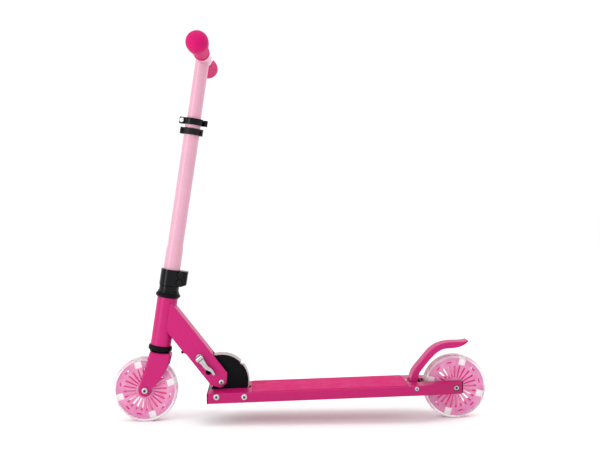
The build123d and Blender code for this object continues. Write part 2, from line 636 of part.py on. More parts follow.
# ---------------------------------------------------------------- headset and fork
with BuildPart() as lower_headset_cup:
    add_column_turned([(17.2, HEAD_LOW - 10), (20, HEAD_LOW - 10), (22, HEAD_LOW - 7.5),
                       (22, HEAD_LOW - 2.5), (20.5, HEAD_LOW), (16.8, HEAD_LOW),
                       (16.8, HEAD_LOW + 6), (15, HEAD_LOW + 6), (15, HEAD_LOW - 1.5),
                       (17.2, HEAD_LOW - 1.5)])
finish(lower_headset_cup, "lower_headset_cup")

with BuildPart() as upper_headset_cup:
    add_column_turned([(16.8, HEAD_HIGH - 6), (16.8, HEAD_HIGH), (20.2, HEAD_HIGH),
                       (22.9, HEAD_HIGH + 3), (22.9, HEAD_HIGH + 5.2), (20.4, HEAD_HIGH + 8.8),
                       (17.2, HEAD_HIGH + 8.8), (17.2, HEAD_HIGH + 1.5), (15, HEAD_HIGH + 1.5),
                       (15, HEAD_HIGH - 6)])
finish(upper_headset_cup, "upper_headset_cup")

with BuildPart() as headset_bearings:
    bore = STEERER_RADIUS + RUNNING_GAP
    for low in (HEAD_LOW - 8.8, HEAD_HIGH + 1.5):
        add_column_turned([(bore, low), (17.2, low), (17.2, low + 7.3), (bore, low + 7.3)])
finish(headset_bearings, "headset_bearings")

with BuildPart() as crown_race:
    add_column_turned([(STEERER_RADIUS, CROWN_TOP), (19, CROWN_TOP), (17.5, CROWN_TOP + 1.2),
                       (16.5, CROWN_TOP + 3.4), (STEERER_RADIUS, CROWN_TOP + 3.4)])
finish(crown_race, "crown_race")

with BuildPart() as headset_locknut:
    low = HEAD_HIGH + 8.9
    add_column_turned([(STEERER_RADIUS, low), (16.6, low), (16.6, low + 0.4), (19.9, low + 0.4),
                       (19.9, low + 2.8), (18.3, low + 4), (18.3, COLUMN_LOW - 1.2),
                       (17.5, COLUMN_LOW - 0.2), (STEERER_RADIUS, COLUMN_LOW - 0.2)])
finish(headset_locknut, "headset_locknut")

LEG_OUTER = WHEEL_SLOT_HALF + CROWN_SHEET
axle_on_column = COLUMN_SIDE.to_local_coords(FRONT_AXLE)
LEG_ROUND = 12.5
with BuildPart() as fork:
    with BuildSketch(COLUMN_SIDE):
        with BuildLine():
            Polyline((-17, CROWN_TOP), (23.2, CROWN_TOP), (21, -78), (10, -105.5),
                     (axle_on_column.X + 11.7, axle_on_column.Y + 4.4),
                     (axle_on_column.X - 12.3, axle_on_column.Y + 2.2), (-20, -83), close=True)
        make_face()
        fillet(vertices().group_by(Axis.Y)[-1], 4)
        with Locations((axle_on_column.X, axle_on_column.Y)):
            Circle(LEG_ROUND)
    extrude(amount=LEG_OUTER, both=True)
    crown_edges = fork.edges().filter_by(
        lambda edge: edge.length > 20 and COLUMN.to_local_coords(edge.center()).Z > CROWN_TOP - 0.1
        and abs(abs(edge.center().Y) - LEG_OUTER) < 0.1)
    fillet(crown_edges, 4)
    with BuildSketch(COLUMN.offset(CROWN_TOP - CROWN_SHEET)):
        Rectangle(200, 2 * WHEEL_SLOT_HALF)
    extrude(amount=-150, mode=Mode.SUBTRACT)
    with BuildSketch(Plane(origin=FRONT_AXLE, x_dir=(1, 0, 0), z_dir=LEFT)):
        Circle(AXLE_RADIUS + 0.1)
    extrude(amount=40, both=True, mode=Mode.SUBTRACT)
    with BuildSketch(COLUMN.offset(-70)):
        Circle(STEERER_RADIUS)
    extrude(amount=30, mode=Mode.SUBTRACT)
finish(fork, "fork")

with BuildPart() as steerer:
    add_column_turned([(10.2, CROWN_TOP - CROWN_SHEET), (STEERER_RADIUS, CROWN_TOP - CROWN_SHEET),
                       (STEERER_RADIUS, 120), (10.2, 120)])
finish(steerer, "steerer")

for place, centre, bearing_face, head, height in (("front", FRONT_AXLE, LEG_OUTER, 6, 4.6),
                                                  ("rear", REAR_AXLE, YOKE_OUTER, 5.8, 6.4)):
    with BuildPart() as axle_bolt:
        add_screw(centre, head, AXLE_RADIUS, -bearing_face, bearing_face + 6.6, height)
    finish(axle_bolt, f"{place}_axle_bolt")

with BuildPart() as front_axle_nut:
    add_lock_nut(FRONT_AXLE, 13, AXLE_RADIUS, LEG_OUTER, 6)
finish(front_axle_nut, "front_axle_nut")

# ---------------------------------------------------------------- stem clamp and column
CLAMP_LOW, CLAMP_HIGH = COLUMN_LOW, 99.6
CLAMP_RADIUS = 19.3
CLAMP_BOLT_OUT = 17.9
CLAMP_BOLT_HEIGHTS = (77.2, 92.8)
LUG_END, LUG_HALF = 31, 11

with BuildPart() as stem_clamp:
    with BuildSketch(COLUMN.offset(CLAMP_LOW)):
        Circle(CLAMP_RADIUS)
        with Locations((LUG_END / 2, 0)):
            Rectangle(LUG_END, 2 * LUG_HALF)
        fillet(vertices().sort_by(Axis.X)[-2:], 3)
        Circle(COLUMN_RADIUS, mode=Mode.SUBTRACT)
        with Locations((COLUMN_RADIUS + 14, 0)):
            Rectangle(32, 2, mode=Mode.SUBTRACT)
    extrude(amount=CLAMP_HIGH - CLAMP_LOW)
    # The lug's lower rear corner is cut back.
    with BuildSketch(COLUMN_SIDE):
        Polygon((22, CLAMP_LOW - 0.1), (LUG_END + 1, CLAMP_LOW - 0.1), (LUG_END + 1, CLAMP_LOW + 5),
                align=None)
    extrude(amount=LUG_HALF + 1, both=True, mode=Mode.SUBTRACT)
    for height in CLAMP_BOLT_HEIGHTS:
        with BuildSketch(COLUMN_SIDE):
            with Locations((CLAMP_BOLT_OUT, height)):
                Circle(3)
        extrude(amount=30, both=True, mode=Mode.SUBTRACT)
        with BuildSketch(at_side(COLUMN_SIDE, -LUG_HALF)):
            with Locations((CLAMP_BOLT_OUT, height)):
                Circle(5.4)
        extrude(amount=20, mode=Mode.SUBTRACT)
finish(stem_clamp, "stem_clamp")


def on_column(out, height):
    """The point of the column's side plane at a distance behind the axis and a height."""
    return COLUMN_SIDE.from_local_coords((out, height, 0))


with BuildPart() as clamp_bolts:
    for height in CLAMP_BOLT_HEIGHTS:
        centre = on_column(CLAMP_BOLT_OUT, height)
        add_turned(centre, [(LUG_HALF, 0), (LUG_HALF, 3), (-LUG_HALF, 3), (-LUG_HALF, 5),
                            (-LUG_HALF - 4.4, 5), (-LUG_HALF - 5, 4.4), (-LUG_HALF - 5, 0)])
        with BuildSketch(Plane(origin=centre + Vector(0, -LUG_HALF - 5, 0), x_dir=COLUMN.x_dir,
                               z_dir=LEFT)):
            RegularPolygon(2.9, 6)
        extrude(amount=-3, mode=Mode.SUBTRACT)
finish(clamp_bolts, "clamp_bolts")

with BuildPart() as steering_tube:
    add_column_turned([(INNER_TUBE_RADIUS + 0.05, COLUMN_LOW), (COLUMN_RADIUS, COLUMN_LOW),
                       (COLUMN_RADIUS, CLAMP_HIGH + 0.2), (15.5, CLAMP_HIGH + 0.2), (15.5, 132),
                       (15.2, 136), (14.6, 142), (COLUMN_RADIUS, 146), (COLUMN_RADIUS, COLUMN_HIGH),
                       (INNER_TUBE_RADIUS + 0.05, COLUMN_HIGH)])
    for step in range(3):
        with BuildSketch(Plane(origin=on_column(0, HEIGHT_BUTTON_AT + step * HEIGHT_STEP),
                               x_dir=(0, 1, 0), z_dir=COLUMN.x_dir)):
            Circle(3.7)
        extrude(amount=30, mode=Mode.SUBTRACT)
    # The slit that lets the quick-release collar squeeze the tube.
    with BuildSketch(Plane(origin=on_column(0, COLUMN_HIGH), x_dir=(0, 1, 0),
                           z_dir=COLUMN.x_dir * -1)):
        Rectangle(2, 44)
    extrude(amount=30, mode=Mode.SUBTRACT)
finish(steering_tube, "steering_tube")

# ---------------------------------------------------------------- collars on the column
COLLAR_LOW, COLLAR_HIGH = 371, 383
COLLAR_SCREW_OUT = -20.8
with BuildPart() as height_collar:
    with BuildSketch(COLUMN.offset(COLLAR_LOW)):
        Circle(17.4)
        with Locations((-20, 0)):
            Rectangle(12, 13)
        fillet(vertices().sort_by(Axis.X)[:2], 2.5)
        Circle(COLUMN_RADIUS, mode=Mode.SUBTRACT)
        with Locations((-20, 0)):
            Rectangle(16, 2, mode=Mode.SUBTRACT)
    extrude(amount=COLLAR_HIGH - COLLAR_LOW)
    with BuildSketch(COLUMN_SIDE):
        with Locations((COLLAR_SCREW_OUT, (COLLAR_LOW + COLLAR_HIGH) / 2)):
            Circle(2.5)
    extrude(amount=30, both=True, mode=Mode.SUBTRACT)
finish(height_collar, "height_collar")

collar_centre = on_column(COLLAR_SCREW_OUT, (COLLAR_LOW + COLLAR_HIGH) / 2)
HINGE_Y = 11.5
with BuildPart() as collar_skewer:
    with BuildSketch(across(collar_centre)):
        with BuildLine():
            Polyline((HINGE_Y, 0), (HINGE_Y, 2.4), (-6.6, 2.4), (-6.6, 4.4), (-8.4, 4.4))
            ThreePointArc((-8.4, 4.4), (-10.3, 3), (-11, 1))
            Polyline((-11, 1), (-11, 0), (HINGE_Y, 0))
        make_face()
    revolve(axis=Axis(collar_centre, (0, 1, 0)))
    with BuildSketch(COLUMN.offset(COLLAR_LOW)):
        with Locations((COLLAR_SCREW_OUT, HINGE_Y)):
            Circle(1.6)
    extrude(amount=12, mode=Mode.SUBTRACT)
finish(collar_skewer, "collar_skewer")

# The collar's cam lever: it closes round the far side of the tube, its tip behind the tube.
LEVER_IN, LEVER_OUT = 19, 21.6
with BuildPart() as height_lever:
    with BuildSketch(COLUMN.offset(COLLAR_LOW + 0.5)):
        add_arc_band(LEVER_OUT, LEVER_IN, 22, 140)
        with Locations((COLLAR_SCREW_OUT, HINGE_Y)):
            Circle(4.6)
        with BuildLine():
            Polyline((COLLAR_SCREW_OUT, HINGE_Y + 4.5), on_circle(LEVER_OUT, 134),
                     on_circle(LEVER_IN, 138), (COLLAR_SCREW_OUT + 3, HINGE_Y - 1.5), close=True)
        make_face()
        with BuildLine():
            Polyline(on_circle(LEVER_OUT, 24), on_circle(LEVER_IN - 0.4, 24), (18.6, 3.4), (20, 1),
                     (26, 1), (26, 4.5), (23, 6), close=True)
        make_face()
    extrude(amount=COLLAR_HIGH - COLLAR_LOW - 1)
    with BuildSketch(COLUMN.offset(COLLAR_LOW + 3.4)):
        with Locations((COLLAR_SCREW_OUT, HINGE_Y - 2)):
            Rectangle(14, 12)
    extrude(amount=5.2, mode=Mode.SUBTRACT)
    with BuildSketch(COLUMN.offset(COLLAR_LOW + 0.5)):
        with Locations((COLLAR_SCREW_OUT, HINGE_Y)):
            Circle(1.5, mode=Mode.ADD)
    extrude(amount=COLLAR_HIGH - COLLAR_LOW - 1, mode=Mode.SUBTRACT)
finish(height_lever, "height_lever")

STOP_LOW, STOP_HIGH = 352.6, 364.6
STOP_SCREW_OUT = 19.4
with BuildPart() as stop_collar:
    with BuildSketch(COLUMN.offset(STOP_LOW)):
        Circle(17.2)
        with Locations((-1, 0)):
            Rectangle(42, 11)
        fillet(vertices().sort_by(Axis.X)[:2] + vertices().sort_by(Axis.X)[-2:], 1.5)
        Circle(COLUMN_RADIUS, mode=Mode.SUBTRACT)
        Rectangle(60, 1, mode=Mode.SUBTRACT)
    extrude(amount=STOP_HIGH - STOP_LOW)
    with BuildSketch(COLUMN_SIDE):
        with Locations((-STOP_SCREW_OUT, 358.6), (STOP_SCREW_OUT - 1.5, 358.6)):
            Circle(1.8)
    extrude(amount=30, both=True, mode=Mode.SUBTRACT)
    with BuildSketch(at_side(COLUMN_SIDE, -5.5)):
        with Locations((-STOP_SCREW_OUT, 358.6), (STOP_SCREW_OUT - 1.5, 358.6)):
            Circle(3.2)
    extrude(amount=30, mode=Mode.SUBTRACT)
finish(stop_collar, "stop_collar")

with BuildPart() as stop_collar_screws:
    for out in (-STOP_SCREW_OUT, STOP_SCREW_OUT - 1.5):
        add_screw(on_column(out, 358.6), 2.9, 1.8, -5.5, 5.5, 2.2)
finish(stop_collar_screws, "stop_collar_screws")

# ---------------------------------------------------------------- handlebar
bar_centre = on_column(0, HANDLEBAR_AT)
TEE_RADIUS = 14.3
SNAP_Y = 26
BUTTON_RADIUS = 3.2

with BuildPart() as handlebar_tee:
    with BuildSketch(COLUMN.offset(INNER_TUBE_LOW)):
        Circle(INNER_TUBE_RADIUS)
    extrude(amount=HANDLEBAR_AT - INNER_TUBE_LOW)
    add_turned(bar_centre, [(-TEE_HALF_LENGTH, 0), (TEE_HALF_LENGTH, 0),
                            (TEE_HALF_LENGTH, TEE_RADIUS), (-TEE_HALF_LENGTH, TEE_RADIUS)])
    with BuildSketch(COLUMN.offset(INNER_TUBE_LOW)):
        Circle(INNER_TUBE_RADIUS - 1.8)
    extrude(amount=HANDLEBAR_AT - INNER_TUBE_LOW, mode=Mode.SUBTRACT)
    with BuildSketch(Plane(origin=bar_centre, x_dir=(1, 0, 0), z_dir=LEFT)):
        Circle(HANDLE_RADIUS)
    extrude(amount=60, both=True, mode=Mode.SUBTRACT)
    with BuildSketch(Plane(origin=on_column(0, HEIGHT_BUTTON_AT), x_dir=(0, 1, 0),
                           z_dir=COLUMN.x_dir)):
        Circle(BUTTON_RADIUS + 0.1)
    extrude(amount=30, mode=Mode.SUBTRACT)
    with BuildSketch(Plane(origin=bar_centre, x_dir=(0, 1, 0), z_dir=COLUMN.x_dir)):
        with Locations((-SNAP_Y, 0), (SNAP_Y, 0)):
            Circle(BUTTON_RADIUS + 0.1)
    extrude(amount=30, mode=Mode.SUBTRACT)
finish(handlebar_tee, "handlebar_tee")

with BuildPart() as handle_tubes:
    for low, high in ((-160, -8), (8, 160)):
        add_tube(bar_centre, HANDLE_RADIUS, 9.3, low, high)
    with BuildSketch(Plane(origin=bar_centre, x_dir=(0, 1, 0), z_dir=COLUMN.x_dir)):
        with Locations((-SNAP_Y, 0), (SNAP_Y, 0)):
            Circle(BUTTON_RADIUS + 0.1)
    extrude(amount=30, mode=Mode.SUBTRACT)
finish(handle_tubes, "handle_tubes")


def make_grip(side):
    """A soft pear-shaped grip: ribbed at its inner end, swelling to a ball at its tip."""
    with BuildPart() as grip:
        with BuildSketch(across(bar_centre)):
            with BuildLine():
                Polyline((side * 160, 0), (side * 160, HANDLE_RADIUS), (side * 40, HANDLE_RADIUS),
                         (side * 40, 13.2), (side * 41, 14.2), (side * 43.5, 14.2),
                         (side * 44.5, 13.2), (side * 46.5, 13.2), (side * 47.5, 14.6),
                         (side * 50, 14.6), (side * 51, 13.8))
                Spline((side * 51, 13.8), (side * 75, 14.9), (side * 105, 16.5), (side * 130, 18.7),
                       (side * 149, 19.4))
                ThreePointArc((side * 149, 19.4), (side * 162.4, 13.8), (side * GRIP_END, 2))
                Polyline((side * GRIP_END, 2), (side * GRIP_END, 0), (side * 160, 0))
            make_face()
        revolve(axis=Axis(bar_centre, (0, 1, 0)))
    return grip


finish(make_grip(-1), "left_grip")
finish(make_grip(1), "right_grip")


def make_button(centre, reach):
    """A spring button that looks out of the rear of a tube, with a domed end."""
    with BuildPart() as button:
        with BuildSketch(Plane(origin=centre, x_dir=(0, 1, 0), z_dir=COLUMN.x_dir).offset(reach - 7)):
            Circle(BUTTON_RADIUS)
        extrude(amount=7)
        fillet(button.faces().sort_by(Axis(centre, COLUMN.x_dir))[-1].edges(), 1.8)
    return button


finish(make_button(on_column(0, HEIGHT_BUTTON_AT), 16.3), "height_button")
finish(make_button(bar_centre + Vector(0, -SNAP_Y, 0), 16.3), "left_handle_button")
finish(make_button(bar_centre + Vector(0, SNAP_Y, 0), 16.3), "right_handle_button")

# ---------------------------------------------------------------- fender brake
FENDER_HALF, FENDER_WALL = 15, 2
KNUCKLE_RADIUS = 5.4
UPPER_LINE = [(205.6, 72), (215.8, 97), (226.5, 109.8), (237.2, 122.8), (249.6, 134.4), (265.2, 141.9),
              (291, 145.2), (303, 145.3), (314.8, 147.5)]
LOWER_LINE = [(308.7, 140.6), (297.2, 135.6), (283.7, 133.4), (270.3, 132.2), (258.8, 127.6),
              (244.8, 115.2), (232.2, 100.4), (221.8, 86)]


def draw_fender(drop):
    """Draws the side outline of the fender; with a drop, the hollow under its top sheet."""
    pin_x, pin_z = FENDER_PIN.X, FENDER_PIN.Z
    upper = [(x + drop * 0.8 * (x < 235), z - drop * (0.45 if x < 235 else 1)) for x, z in UPPER_LINE]
    lower = [(x + 3 * (drop > 0), z - 4 * (drop > 0)) for x, z in LOWER_LINE]
    tip = (314.6 + 3 * (drop > 0), 145.8 - 5 * (drop > 0))
    foot = [(pin_x + KNUCKLE_RADIUS + 12 * (drop > 0), pin_z - 8 * (drop > 0)),
            (pin_x - KNUCKLE_RADIUS + 0.8 * drop, pin_z - 8 * (drop > 0))]
    with BuildLine() as outline:
        Spline(*upper)
        Line(upper[-1], tip)
        Spline(tip, *lower)
        Polyline(lower[-1], *foot, upper[0])
    make_face(outline.edges())


with BuildPart() as fender_brake:
    with BuildSketch(Plane.XZ):
        draw_fender(0)
    extrude(amount=FENDER_HALF, both=True)
    ridge_edges = fender_brake.edges().filter_by(
        lambda edge: edge.length > 120 and abs(abs(edge.center().Y) - FENDER_HALF) < 0.01).sort_by(Axis.Z)
    fillet(ridge_edges[-2:], 2.4)
    with BuildSketch(Plane.XZ):
        draw_fender(FENDER_WALL)
    extrude(amount=FENDER_HALF - FENDER_WALL, both=True, mode=Mode.SUBTRACT)
    for side in (-1, 1):
        add_tube(FENDER_PIN, KNUCKLE_RADIUS, PIN_RADIUS, *sorted((side * 9.5, side * FENDER_HALF)))
    with BuildSketch(Plane(origin=FENDER_PIN, x_dir=(1, 0, 0), z_dir=LEFT)):
        Circle(PIN_RADIUS + RUNNING_GAP)
    extrude(amount=40, both=True, mode=Mode.SUBTRACT)
finish(fender_brake, "fender_brake")

with BuildPart() as fender_pin:
    add_screw(FENDER_PIN, 3.9, PIN_RADIUS, -DECK_HALF_WIDTH, DECK_HALF_WIDTH + 5, 2.2)
finish(fender_pin, "fender_pin")

with BuildPart() as fender_spring:
    with BuildLine() as coil:
        Helix(pitch=1.6, height=14.4, radius=3.1, center=(FENDER_PIN.X, -7.2, FENDER_PIN.Z),
              direction=(0, 1, 0))
    with BuildSketch(Plane(origin=coil.line @ 0, z_dir=coil.line % 0)):
        Circle(0.45)
    sweep(path=coil.line)
finish(fender_spring, "fender_spring")

with BuildPart() as tail_screw:
    with BuildSketch(DECK):
        with Locations((199.6, 0)):
            Circle(2.6)
    extrude(amount=1.4)
    fillet(tail_screw.edges().group_by(Axis.Z)[-1], 0.8)
finish(tail_screw, "tail_screw")
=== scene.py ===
# %% [markdown]
# # A child's folding kick scooter
# The scooter is an assembly of real pieces that were designed first in a CAD program: wheels,
# footboard, folding strut, fork, column and handlebar. This lesson dresses that model. It gives
# every piece a finish that behaves like the real one (powder-coated steel, cast urethane, zinc,
# anodised alloy, soft rubber), and it models the small visible details that a CAD draft leaves
# out. All lengths are metres: +X runs to the rear wheel, -Y to the rider's left, +Z up.

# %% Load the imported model
import bpy
import json
from math import pi, radians
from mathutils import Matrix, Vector


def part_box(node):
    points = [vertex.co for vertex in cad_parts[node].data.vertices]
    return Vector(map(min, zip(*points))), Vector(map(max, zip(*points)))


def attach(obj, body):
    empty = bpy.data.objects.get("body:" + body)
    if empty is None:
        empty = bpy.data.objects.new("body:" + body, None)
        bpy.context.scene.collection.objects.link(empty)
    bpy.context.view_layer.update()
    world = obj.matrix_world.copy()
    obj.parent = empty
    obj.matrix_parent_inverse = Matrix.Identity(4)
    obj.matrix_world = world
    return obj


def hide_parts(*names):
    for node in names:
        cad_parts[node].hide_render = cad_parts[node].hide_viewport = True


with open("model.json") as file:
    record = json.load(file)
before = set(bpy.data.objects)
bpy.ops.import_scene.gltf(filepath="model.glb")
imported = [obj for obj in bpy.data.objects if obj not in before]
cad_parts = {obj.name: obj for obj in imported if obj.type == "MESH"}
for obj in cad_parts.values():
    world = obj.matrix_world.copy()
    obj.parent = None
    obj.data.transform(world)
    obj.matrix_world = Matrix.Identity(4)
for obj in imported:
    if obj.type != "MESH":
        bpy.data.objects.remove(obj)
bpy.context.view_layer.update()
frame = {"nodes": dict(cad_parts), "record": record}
NODES = frame["nodes"]
BEHAVIOUR = frame["record"]["behaviour"]
BODY_OF = {node: body for body, nodes in BEHAVIOUR["bodies"].items() for node in nodes}
print("pieces of the CAD model:", len(NODES))

# %% [markdown]
# ## Camera
# A product picture of a scooter is taken from the side with a fairly long lens, a little above
# the middle of the object, so both wheels look round and the footboard shows a sliver of its
# top. The camera stands one and a half metres away and is aimed a shade downwards. Its aim is
# built from two angles: the turn about the upright and the dip below the horizon.

# %% Place the camera
CAMERA_AT = Vector((-0.0751, -1.5638, 0.4205))
CAMERA_TURN = radians(2.664)
CAMERA_DIP = radians(2.0)
LENS_MM = 50.06
SENSOR_MM = 36.0
FAR_CLIP = 60.0
camera_data = bpy.data.cameras.new("camera")
camera_data.lens = LENS_MM
camera_data.sensor_width = SENSOR_MM
camera_data.clip_end = FAR_CLIP
camera = bpy.data.objects.new("camera", camera_data)
camera.location = CAMERA_AT
camera.rotation_euler = (pi / 2 - CAMERA_DIP, 0, -CAMERA_TURN)
bpy.context.scene.collection.objects.link(camera)
bpy.context.scene.camera = camera
bpy.context.scene.view_settings.view_transform = "Standard"
print("camera", [round(c, 3) for c in CAMERA_AT], "lens", camera_data.lens)

# %% [markdown]
# ## Studio
# A white studio is an even, bright surround with a few large soft lamps. The surround fills the
# shadows. A tall narrow lamp in front and to one side draws the long soft highlights along the
# tubes: it must reach from the floor to above the handlebar, because an upright tube mirrors a
# lamp at its own height. A lamp overhead lights the footboard and one behind draws the far
# edges. The floor is a plain pale sheet that runs so far back that its edge is lost.

# %% Surround and lamps
SURROUND_STRENGTH = 1.03
world = bpy.data.worlds.new("studio")
world.use_nodes = True
background = world.node_tree.nodes["Background"]
background.inputs["Color"].default_value = (1, 1, 1, 1)
background.inputs["Strength"].default_value = SURROUND_STRENGTH
bpy.context.scene.world = world


def soft_lamp(name, place, target, width, height, power):
    """A rectangular area lamp at place, facing target."""
    data = bpy.data.lights.new(name, "AREA")
    data.shape = "RECTANGLE"
    data.size = width
    data.size_y = height
    data.energy = power
    lamp = bpy.data.objects.new(name, data)
    lamp.location = place
    lamp.rotation_euler = (Vector(target) - Vector(place)).to_track_quat("-Z", "Y").to_euler()
    bpy.context.scene.collection.objects.link(lamp)


soft_lamp("strip_lamp", place=(-1.75, -1.25, 0.75), target=(-0.2, 0, 0.35),
          width=0.30, height=2.0, power=20)
soft_lamp("top_lamp", place=(0.3, -0.3, 2.2), target=(0, 0, 0),
          width=1.0, height=1.0, power=9)
soft_lamp("rear_lamp", place=(1.6, 1.2, 1.5), target=(0, 0, 0.3),
          width=1.2, height=1.2, power=5)

# %% Floor
FLOOR_SIZE = 40
FLOOR_GREY = 0.985
bpy.ops.object.select_all(action="DESELECT")
bpy.ops.mesh.primitive_plane_add(size=FLOOR_SIZE, location=(0, 0, 0))
floor = bpy.context.object
floor.name = "floor"
floor_finish = bpy.data.materials.new("floor_sheet")
floor_finish.use_nodes = True
floor_shader = floor_finish.node_tree.nodes["Principled BSDF"]
floor_shader.inputs["Base Color"].default_value = (FLOOR_GREY, FLOOR_GREY, FLOOR_GREY, 1)
floor_shader.inputs["Roughness"].default_value = 0.9
floor_shader.inputs["Specular IOR Level"].default_value = 0.1
floor.data.materials.append(floor_finish)
print("floor half width", floor.dimensions.x / 2)

# %% [markdown]
# ## How a finish is built
# Every finish starts from the Principled shader. Real surfaces are never one flat value, so each
# finish mixes at least one noise into its colour, its gloss and its bump. The patterns read
# Object coordinates, so they are fixed to the piece in metres: a noise scale of 1000 has
# features about a millimetre across. A few small helpers keep the recipes short: a noise, a
# pattern of cells, a ramp that turns a pattern into a colour or a value, a sum, a mix of two
# colours, a test of which way the surface faces, and a bump.

# %% Helpers for finishes
FINE_RELIEF = 0.0002  # metres from valley to peak, for a coat or a metal grain
MOULDED_RELIEF = 0.0003  # the same for rubber and urethane
GRIT_RELIEF = 0.0005  # the same for glued grit


class Finish:
    """A material under construction, with short calls for the nodes that the recipes use."""

    def __init__(self, name):
        self.material = bpy.data.materials.new(name)
        self.material.use_nodes = True
        self.tree = self.material.node_tree
        self.shader = self.tree.nodes["Principled BSDF"]
        self.place = self.tree.nodes.new("ShaderNodeTexCoord").outputs["Object"]

    def set(self, **values):
        """Sets plain values on the shader's own sockets: names use _ for spaces."""
        for key, value in values.items():
            self.shader.inputs[key.replace("_", " ")].default_value = value

    def link(self, output, socket):
        """Feeds one of the shader's own sockets, by its name."""
        self.tree.links.new(output, self.shader.inputs[socket])

    def scaled(self, factors):
        """Object coordinates stretched by three factors, for a pattern that runs one way."""
        mapping = self.tree.nodes.new("ShaderNodeMapping")
        mapping.inputs["Scale"].default_value = factors
        self.tree.links.new(self.place, mapping.inputs["Vector"])
        return mapping.outputs["Vector"]

    def noise(self, scale, detail=3.0, rough=0.5, vector=None):
        """A cloudy pattern from 0 to 1, fixed to the piece."""
        node = self.tree.nodes.new("ShaderNodeTexNoise")
        node.inputs["Scale"].default_value = scale
        node.inputs["Detail"].default_value = detail
        node.inputs["Roughness"].default_value = rough
        self.tree.links.new(vector or self.place, node.inputs["Vector"])
        return node.outputs["Fac"]

    def cells(self, scale):
        """A pattern of small cells, each darkest in its middle."""
        node = self.tree.nodes.new("ShaderNodeTexVoronoi")
        node.inputs["Scale"].default_value = scale
        self.tree.links.new(self.place, node.inputs["Vector"])
        return node.outputs["Distance"]

    def ramp(self, fac, *stops):
        """A pattern turned into colours: stops are (position, colour or grey value)."""
        node = self.tree.nodes.new("ShaderNodeValToRGB")
        while len(node.color_ramp.elements) < len(stops):
            node.color_ramp.elements.new(0.5)
        for element, (position, value) in zip(node.color_ramp.elements, stops):
            element.position = position
            element.color = (*value, 1) if isinstance(value, tuple) else (value, value, value, 1)
        self.tree.links.new(fac, node.inputs["Fac"])
        return node.outputs["Color"]

    def math(self, operation, a, b=0.0):
        """One sum on two values, each a number or another node's output."""
        node = self.tree.nodes.new("ShaderNodeMath")
        node.operation = operation
        for socket, value in zip(node.inputs, (a, b)):
            if isinstance(value, (int, float)):
                socket.default_value = value
            else:
                self.tree.links.new(value, socket)
        return node.outputs["Value"]

    def mix(self, fac, a, b):
        """Colour a where fac is 0 and colour b where it is 1."""
        node = self.tree.nodes.new("ShaderNodeMix")
        node.data_type = "RGBA"
        factor, first, second = node.inputs[0], node.inputs[6], node.inputs[7]
        for socket, value in ((factor, fac), (first, a), (second, b)):
            if isinstance(value, (int, float)):
                socket.default_value = value
            elif isinstance(value, tuple):
                socket.default_value = (*value, 1)
            else:
                self.tree.links.new(value, socket)
        return node.outputs[2]

    def facing(self, axis):
        """How much the surface faces along one axis of the object, from 0 to 1."""
        coordinates = self.tree.nodes.new("ShaderNodeTexCoord")
        split = self.tree.nodes.new("ShaderNodeSeparateXYZ")
        self.tree.links.new(coordinates.outputs["Normal"], split.inputs[0])
        return self.math("ABSOLUTE", split.outputs[axis])

    def bump(self, height, strength, depth):
        """A relief of the given depth in metres, applied with the given strength."""
        node = self.tree.nodes.new("ShaderNodeBump")
        node.inputs["Strength"].default_value = strength
        node.inputs["Distance"].default_value = depth
        self.tree.links.new(height, node.inputs["Height"])
        self.tree.links.new(node.outputs["Normal"], self.shader.inputs["Normal"])


def from_srgb(red, green, blue):
    """Screen values from 0 to 255 as the linear colour that a shader takes."""
    def linear(value):
        """The sRGB standard's own curve: straight near black, a power above."""
        value = value / 255
        return value / 12.92 if value <= 0.04045 else ((value + 0.055) / 1.055) ** 2.4
    return (linear(red), linear(green), linear(blue))


def shaded(colour, factor):
    """A colour made darker or lighter by one factor, never brighter than white."""
    return tuple(min(1, c * factor) for c in colour)


def dress(finish, *names):
    """Gives a finish to CAD nodes."""
    for name in names:
        node = NODES[name]
        node.data.materials.clear()
        node.data.materials.append(finish.material)


print("helpers ready")

# %% [markdown]
# ## Powder coat
# The strut, fork, fender and footboard are steel and alloy with a glossy magenta powder coat;
# the column's is a pale pink, and that of the fold bracket and the headset cups is black.
# Powder melts into a skin with a very fine orange-peel ripple, so the gloss is a little broken
# up; the colour itself hardly varies. A bump from a noise with millimetre features makes the
# ripple, and a slower noise shifts the colour by a few percent, with a trace of dust.

# %% Powder-coat recipe
FRAME_MAGENTA = (0.465, 0.003, 0.132)
FOOTBOARD_MAGENTA = (0.425, 0.001, 0.110)
COLUMN_PINK = (0.635, 0.325, 0.425)
BRACKET_BLACK = (0.002, 0.002, 0.003)
DUST = (0.80, 0.72, 0.74)
RIPPLE = 0.12  # strength of the orange peel


def powder_coat(name, colour, rough=0.34, shine=0.22, dust=0.012):
    """A coloured powder coat: fine ripple, slight shade changes, a dull film of dust in patches."""
    paint = Finish(name)
    shade = paint.ramp(paint.noise(14, 4), (0.3, shaded(colour, 0.93)), (0.7, colour))
    patches = paint.math("MULTIPLY", paint.noise(55, 6, 0.65), dust)
    paint.link(paint.mix(patches, shade, DUST), "Base Color")
    gloss = paint.ramp(paint.noise(160, 5, 0.6), (0.35, rough * 0.85), (0.7, rough * 1.25))
    paint.link(gloss, "Roughness")
    paint.set(Specular_IOR_Level=shine)
    paint.bump(paint.noise(1100, 2, 0.4), RIPPLE, FINE_RELIEF)
    return paint


